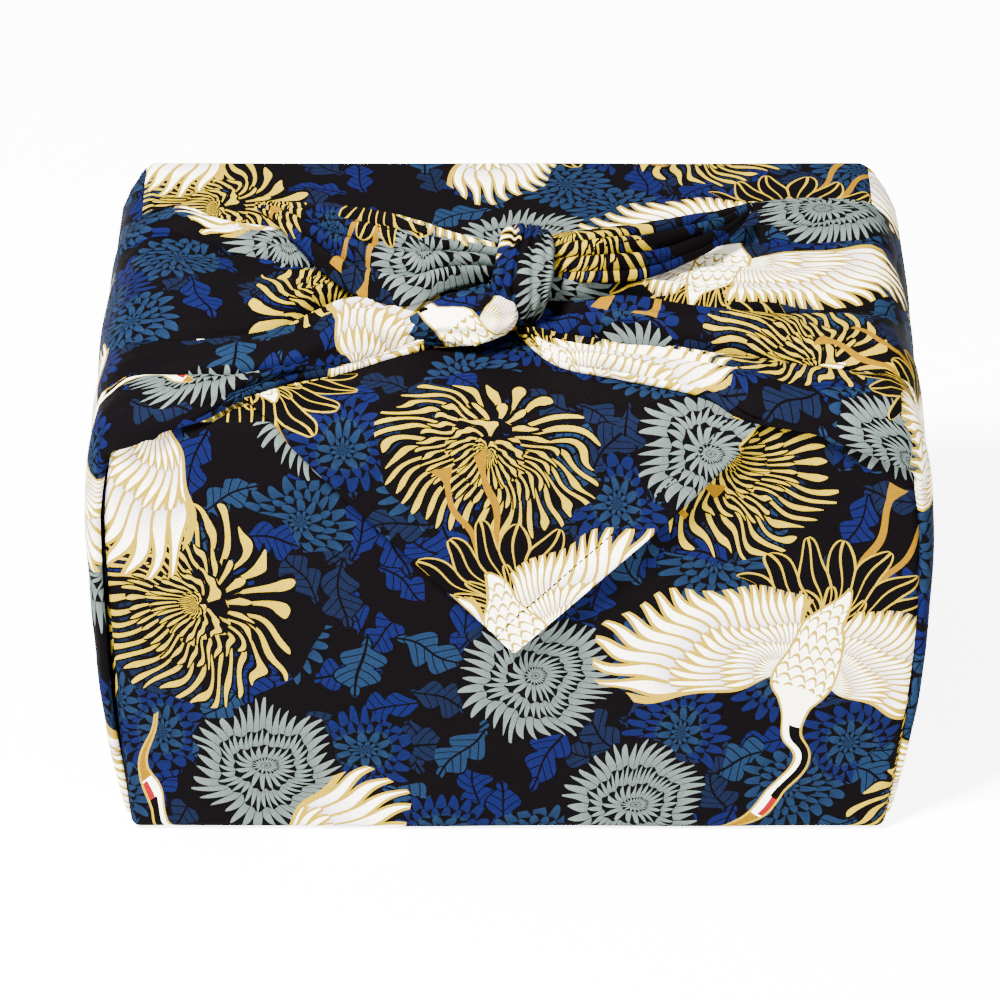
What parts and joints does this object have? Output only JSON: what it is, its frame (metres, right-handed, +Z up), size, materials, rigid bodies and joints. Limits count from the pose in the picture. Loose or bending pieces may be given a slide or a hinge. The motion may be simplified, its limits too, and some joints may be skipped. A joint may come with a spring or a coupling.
{
  "type": "furoshiki wrap",
  "caption": "Printed cotton square wrapped round a box shape, its front corner hanging as a pointed flap and its side corners knotted on top.",
  "frame": {"origin": "centre of the footprint of the whole wrap, on the surface it stands on", "axes": "+Z up through the knot, -Y out of the front with the pointed flap, +X along the wrap's width"},
  "size_m": [0.272, 0.19, 0.1893],
  "materials": {
    "printed_cotton": "fine plain-woven cotton, matt, dark ground with a printed pattern of blooms and cranes"
  },
  "bodies": {
    "root": {"wrap_cloth": "printed_cotton"}
  },
  "joints": []
}
